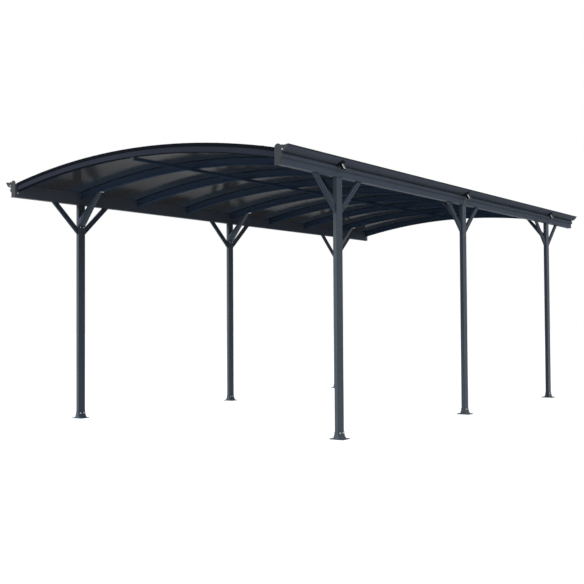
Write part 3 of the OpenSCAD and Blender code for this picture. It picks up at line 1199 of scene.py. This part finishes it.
@dataclass(frozen=True)
class TieBraceDress:
    """What shows of an inward brace: its tapered cheeks, the tab at its foot and the lug at its head."""

    reach: float = 0.243
    drop: float = 0.194
    thickness: float = 0.016
    cover: float = 0.0005
    foot_rise: float = 0.051
    foot_in: float = 0.001
    head_half_w: float = 0.0255
    edge_radius: float = 0.0015
    tab_below: float = 0.0136
    tab_h: float = 0.020
    tab_t: float = 0.003
    tab_screw_y: float = 0.023
    lug_in: float = 0.040
    lug_l: float = 0.036
    lug_w: float = 0.046
    lug_t: float = 0.0025
    lug_screw_in: float = 0.045
    lug_screw_y: float = 0.014
    screw: DomeScrew = DomeScrew(head_r=0.0045, washer_r=0.0060)

    def build(self, wardrobe: Wardrobe, arch: Arch) -> None:
        """Builds the dress of all six inward braces.

        Args:
            wardrobe: The materials.
            arch: The roof's arch.
        """
        cheeks = Bench("tie_brace_cheeks")
        tabs = Bench("tie_brace_tabs")
        screws = Bench("tie_brace_screws")
        for post in Post.every():
            self.add_cheeks(cheeks, post, arch)
            self.add_tab(tabs, screws, post)
            self.add_lug(tabs, screws, post, arch)
        cheeks.hand_over(wardrobe, BRACE_COAT)
        tabs.hand_over(wardrobe, BRACE_COAT)
        screws.hand_over(wardrobe, BRIGHT_STEEL)

    def foot(self, post: Post) -> Vector:
        """Middle of the brace's foot on the post's inner face."""
        return Vector((post.face_x(inner=True), post.mid_y, post.top - self.drop))

    def head(self, post: Post, arch: Arch) -> Vector:
        """Middle of the brace's head under the bow."""
        angle = arch.angle(self.foot(post).x - post.side.value * self.reach, arch.bow_under)
        return arch.place(angle, post.mid_y, arch.bow_under).translation

    def add_cheeks(self, bench: Bench, post: Post, arch: Arch) -> None:
        """Adds the tapered bar that widens from the bow to the post's depth.

        Args:
            bench: The piece.
            post: The post that the brace leans on.
            arch: The roof's arch.
        """
        foot = self.foot(post)
        head = self.head(post, arch)
        along = (head - foot).normalized()
        half_t = self.thickness / 2 + self.cover
        above = foot + Vector((0.0, 0.0, self.foot_rise))
        below = foot - Vector((0.0, 0.0, half_t / abs(along.x)))
        tangent = arch.place(arch.angle(head.x, arch.bow_under), 0.0).to_3x3() @ Vector((1.0, 0.0, 0.0))
        outwards = tangent * (half_t / tangent.cross(along).length) * post.side.value
        wide = Vector((0.0, post.half_depth - self.foot_in, 0.0))
        slim = Vector((0.0, self.head_half_w, 0.0))
        tip = head - along * self.cover
        outer, inner = tip + outwards, tip - outwards
        first = [above + wide, above - wide, below - wide, below + wide]
        second = [outer + slim, outer - slim, inner - slim, inner + slim]
        bench.loft(first, second, self.edge_radius)

    def add_tab(self, tabs: Bench, screws: Bench, post: Post) -> None:
        """Adds the tab below the brace's foot, with its two screws.

        Args:
            tabs: The piece of the tabs.
            screws: The piece of the screws.
            post: The post that carries them.
        """
        inwards = -post.side.value
        middle = self.foot(post) - Vector((0.0, 0.0, self.tab_below + self.tab_h / 2))
        width = 2 * (post.half_depth - self.foot_in)
        tabs.plate(self.tab_h, width, self.tab_t, upright(middle, inwards))
        for way in (-1, 1):
            point = middle + Vector((inwards * self.tab_t, way * self.tab_screw_y, 0.0))
            self.screw.add(screws, facing(point, (inwards, 0.0, 0.0)))

    def add_lug(self, tabs: Bench, screws: Bench, post: Post, arch: Arch) -> None:
        """Adds the lug that holds the brace's head under the bow, with its two screws.

        Args:
            tabs: The piece of the tabs.
            screws: The piece of the screws.
            post: The post below.
            arch: The roof's arch.
        """
        head = self.head(post, arch)
        over = Matrix.Rotation(math.pi, 4, "X")
        lug_angle = arch.angle(head.x - post.side.value * self.lug_in, arch.bow_under)
        place = arch.place(lug_angle, post.mid_y, arch.bow_under) @ over
        tabs.plate(self.lug_l, self.lug_w, self.lug_t, place)
        screw_angle = arch.angle(head.x - post.side.value * self.lug_screw_in, arch.bow_under)
        for way in (-1, 1):
            screw_y = post.mid_y + way * self.lug_screw_y
            self.screw.add(screws, arch.place(screw_angle, screw_y, arch.bow_under + self.lug_t) @ over)


@dataclass(frozen=True)
class BraceRibs:
    """Two flat ribs with a groove between them, along both broad faces of each side brace."""

    reach: float = 0.328
    drop: float = 0.259
    thickness: float = 0.016
    rib_w: float = 0.016
    rib_h: float = 0.0030
    groove: float = 0.008
    sink: float = 0.0004
    clear_of_foot: float = 0.030
    clear_of_head: float = 0.034
    edge_radius: float = 0.0005

    def build(self, wardrobe: Wardrobe) -> None:
        """Builds the ribs of all twelve side braces.

        Args:
            wardrobe: The materials.
        """
        bench = Bench("brace_ribs")
        for post in Post.every():
            for end in End:
                for face in Side:
                    for row in (-0.5, 0.5):
                        self.add_rib(bench, post, end, face, row * (self.rib_w + self.groove))
        bench.hand_over(wardrobe, BRACE_COAT)

    def add_rib(self, bench: Bench, post: Post, end: End, face: Side, shift: float) -> None:
        """Adds one rib.

        Args:
            bench: The piece.
            post: The post that the brace leans on.
            end: Where the brace leans to.
            face: The way that the ribbed face looks.
            shift: Distance of the rib's middle from the brace's middle line.
        """
        middle_x = (post.face_x(inner=True) + post.face_x(inner=False)) / 2
        base_x = middle_x + face.value * (self.thickness / 2 - self.sink)
        foot = Vector((base_x, post.mid_y + end.value * post.half_depth, post.top - self.drop))
        head = Vector((base_x, post.mid_y + end.value * self.reach, post.top))
        along = (head - foot).normalized()
        across = Vector((0.0, -along.z, along.y))
        out = Vector((face.value * (self.rib_h + self.sink), 0.0, 0.0))
        half = across * (self.rib_w / 2)
        start = foot + along * self.clear_of_foot + across * shift
        stop = head - along * self.clear_of_head + across * shift
        corners = (-half, half, half + out, out - half)
        first, second = ([point + corner for corner in corners] for point in (start, stop))
        bench.loft(first, second, self.edge_radius)


@dataclass(frozen=True)
class ShoeScrews:
    """The screws through the shoes into the posts, two on each broad face."""

    shoe_wall: float = 0.0037
    height: float = 0.0505
    apart: float = 0.046
    screw: DomeScrew = DomeScrew(head_r=0.0058, washer_r=0.0076)

    def build(self, wardrobe: Wardrobe) -> None:
        """Builds the screws of all six shoes.

        Args:
            wardrobe: The materials.
        """
        bench = Bench("shoe_screws")
        for post in Post.every():
            for inner in (True, False):
                out = -post.side.value if inner else post.side.value
                face_x = post.face_x(inner) + out * self.shoe_wall
                for way in (-0.5, 0.5):
                    point = (face_x, post.mid_y + way * self.apart, self.height)
                    self.screw.add(bench, facing(point, (out, 0.0, 0.0)))
        bench.hand_over(wardrobe, BRIGHT_STEEL)


@dataclass(frozen=True)
class PurlinFittings:
    """The straps that hang the crown purlin from the bows, and the plates over its ends."""

    strap_t: float = 0.002
    strap_w: float = 0.020
    ear: float = 0.017
    play: float = 0.0002
    end_w: float = 0.034
    end_h: float = 0.029
    end_t: float = 0.003
    screw: DomeScrew = DomeScrew(head_r=0.0030, head_h=0.0020, washer_r=0.0042, washer_t=0.0008, steps=12)

    def build(self, wardrobe: Wardrobe) -> None:
        """Builds the straps, their screws and the end plates.

        Args:
            wardrobe: The materials.
        """
        low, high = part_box("crown_purlin")
        straps = Bench("purlin_straps")
        screws = Bench("purlin_screws")
        ends = Bench("purlin_end_plates")
        for number in range(1, BOW_COUNT + 1):
            self.add_strap(straps, screws, low, high, bow_y(number))
        for end in End:
            end_y = low.y if end is End.FRONT else high.y
            point = Vector((0.0, end_y, high.z - self.end_h / 2))
            place = Matrix.Translation(point) @ Matrix.Rotation(-end.value * math.pi / 2, 4, "X")
            ends.plate(self.end_w, self.end_h, self.end_t, place)
            front = point + Vector((0.0, end.value * self.end_t, 0.0))
            self.screw.add(screws, facing(front, (0.0, end.value, 0.0)))
        straps.hand_over(wardrobe, BLUE_SHADED_BOW_COAT)
        ends.hand_over(wardrobe, CAP_GREY)
        screws.hand_over(wardrobe, STRIP_COAT)

    def add_strap(self, straps: Bench, screws: Bench, low: Vector, high: Vector, middle_y: float) -> None:
        """Adds one strap round the purlin, with an ear on either side.

        Args:
            straps: The piece of the straps.
            screws: The piece of the screws.
            low: The purlin's lowest corner.
            high: The purlin's highest corner.
            middle_y: Middle of the bow.
        """
        inner = high.x + self.play
        outer = inner + self.strap_t
        reach = outer + self.ear
        under = high.z - self.strap_t
        half = [(reach, under), (reach, high.z), (inner, high.z), (inner, low.z - self.play)]
        back = [(outer, low.z - self.play - self.strap_t), (outer, under)]
        outline = half + [(-x, z) for x, z in reversed(half)]
        outline += [(-x, z) for x, z in reversed(back)] + back
        straps.drawn(outline, middle_y - self.strap_w / 2, middle_y + self.strap_w / 2)
        for way in (-1, 1):
            point = (way * (outer + self.ear / 2), middle_y, under)
            self.screw.add(screws, facing(point, (0.0, 0.0, -1.0)))


@dataclass(frozen=True)
class Lip:
    """Section of a rubber lip: its width, its height and how full its side is."""

    width: float
    height: float
    belly: float

    def section(self, y: float, way: int, drop: float, up: int) -> list[Flat]:
        """The lip's corners.

        Args:
            y: The edge that it leans on.
            way: 1 for a lip on the edge's rear side, -1 for one on its front side.
            drop: Depth of the sheet's face below the roof's top.
            up: 1 for a lip that stands on the face, -1 for one that hangs from it.

        Returns:
            Place along the carport and depth of each corner.
        """
        return [
            (y, drop),
            (y + way * self.width, drop),
            (y + way * self.width / 2, drop - up * self.height * self.belly),
            (y, drop - up * self.height),
        ]


@dataclass(frozen=True)
class RoofSeals:
    """Rubber lips beside the cover strips and between bows and sheets, and trims on the sheets' ends."""

    strip_half_w: float = 0.025
    upper: Lip = Lip(width=0.0045, height=0.0032, belly=0.7)
    bow_half_w: float = 0.020
    lower: Lip = Lip(width=0.006, height=0.0030, belly=0.8)
    beam_gap: float = 0.004
    trim_t: float = 0.0014
    trim_l: float = 0.011
    leg_steps: int = 2
    tip_steps: int = 1
    bend_steps: int = 40

    def build(self, wardrobe: Wardrobe, arch: Arch) -> None:
        """Builds the lips and the trims.

        Args:
            wardrobe: The materials.
            arch: The roof's arch.
        """
        lips = Bench("roof_seals")
        trims = Bench("eaves_trims")
        sheet_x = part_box("roof_sheet_1")[1].x
        top_angle = arch.angle(sheet_x)
        low_angle = arch.angle(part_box("gutter_front_right")[0].x - self.beam_gap)
        for number in range(1, BOW_COUNT + 1):
            for way in (-1, 1):
                if 0 < number + way <= BOW_COUNT:
                    middle = bow_y(number)
                    over = self.upper.section(middle + way * self.strip_half_w, way, arch.sheet_top, 1)
                    lips.bent(over, arch, -top_angle, top_angle, self.bend_steps)
                    under = self.lower.section(middle + way * self.bow_half_w, way, arch.sheet_under, -1)
                    lips.bent(under, arch, -low_angle, low_angle, self.bend_steps)
        for number in range(1, BOW_COUNT):
            self.add_trims(trims, arch, bow_y(number), bow_y(number + 1), sheet_x)
        lips.hand_over(wardrobe, SEAL_BLACK)
        trims.hand_over(wardrobe, SEAL_BLACK)

    def add_trims(self, trims: Bench, arch: Arch, from_y: float, to_y: float, sheet_x: float) -> None:
        """Adds the channel over either end of a sheet.

        Args:
            trims: The piece.
            arch: The roof's arch.
            from_y: Middle of the bow before the sheet.
            to_y: Middle of the bow behind it.
            sheet_x: The sheets' end.
        """
        clear = self.strip_half_w + self.upper.width
        first, last = from_y + clear, to_y - clear
        top, under = arch.sheet_top, arch.sheet_under
        high, low = top - self.trim_t, under + self.trim_t
        for side in Side:
            end = side.value * arch.angle(sheet_x, top)
            back = end - side.value * self.trim_l / arch.radius
            tip = end + side.value * self.trim_t / arch.radius
            legs = (
                (top, high, back, end, self.leg_steps),
                (under, low, back, end, self.leg_steps),
                (low, high, end, tip, self.tip_steps),
            )
            for near, far, start, stop, steps in legs:
                outline = [(first, near), (last, near), (last, far), (first, far)]
                trims.bent(outline, arch, start, stop, steps)


@dataclass(frozen=True)
class StripScrews:
    """Dark screws along the cover strips."""

    per_strip: int = 7
    clear_of_end: float = 0.14
    screw: DomeScrew = DomeScrew(head_r=0.0052, head_h=0.0026, washer_r=0.0080)

    def build(self, wardrobe: Wardrobe, arch: Arch) -> None:
        """Builds the screws of all nine strips.

        Args:
            wardrobe: The materials.
            arch: The roof's arch.
        """
        bench = Bench("strip_screws")
        reach = arch.angle(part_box("gutter_front_right")[0].x - self.clear_of_end)
        for number in range(1, BOW_COUNT + 1):
            for step in range(self.per_strip):
                angle = reach * (2 * step / (self.per_strip - 1) - 1)
                self.screw.add(bench, arch.place(angle, bow_y(number)))
        bench.hand_over(wardrobe, STRIP_COAT)


@dataclass(frozen=True)
class LipEdging:
    """A dark rubber edging clipped over the bead of each gutter's lip."""

    bead_r: float = 0.004
    play: float = 0.0002
    wall: float = 0.0013
    from_turn: float = math.radians(-50.0)
    to_turn: float = math.radians(200.0)
    steps: int = 14
    end_gap: float = 0.002

    def build(self, wardrobe: Wardrobe) -> None:
        """Builds the edging of all four gutter lengths.

        Args:
            wardrobe: The materials.
        """
        bench = Bench("lip_edgings")
        for side in Side:
            for end in End:
                low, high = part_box(f"gutter_{end.label}_{side.label}")
                lip_x = high.x if side is Side.RIGHT else -low.x
                section = self.section((lip_x - self.bead_r, high.z - self.bead_r))
                outline = [(side.value * x, z) for x, z in section]
                bench.drawn(outline, low.y + self.end_gap, high.y - self.end_gap)
        bench.hand_over(wardrobe, SEAL_BLACK)

    def section(self, centre: Flat) -> list[Flat]:
        """The edging's section on the right side, an open ring round the bead's middle.

        Args:
            centre: Middle of the bead, as X and Z.

        Returns:
            The section's corners.
        """
        inner = self.bead_r + self.play
        span = self.to_turn - self.from_turn
        turns = [self.from_turn + span * step / self.steps for step in range(self.steps + 1)]

        def ring(radius: float, order: Iterable[float]) -> list[Flat]:
            """Points of one arc."""
            ways = ((math.cos(turn), math.sin(turn)) for turn in order)
            return [(centre[0] + radius * x, centre[1] + radius * z) for x, z in ways]

        return ring(inner + self.wall, turns) + ring(inner, reversed(turns))


def main() -> None:
    """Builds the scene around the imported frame."""
    logging.basicConfig(level=logging.INFO, format="%(message)s")
    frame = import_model()
    PhotoCamera().build()
    Studio().build(frame["nodes"])
    wardrobe = Wardrobe()
    wardrobe.dress_nodes(frame["nodes"])
    arch = Arch()
    GutterScrews().build(wardrobe)
    TieBraceDress().build(wardrobe, arch)
    BraceRibs().build(wardrobe)
    ShoeScrews().build(wardrobe)
    PurlinFittings().build(wardrobe)
    RoofSeals().build(wardrobe, arch)
    StripScrews().build(wardrobe, arch)
    LipEdging().build(wardrobe)


if __name__ == "__main__":
    main()
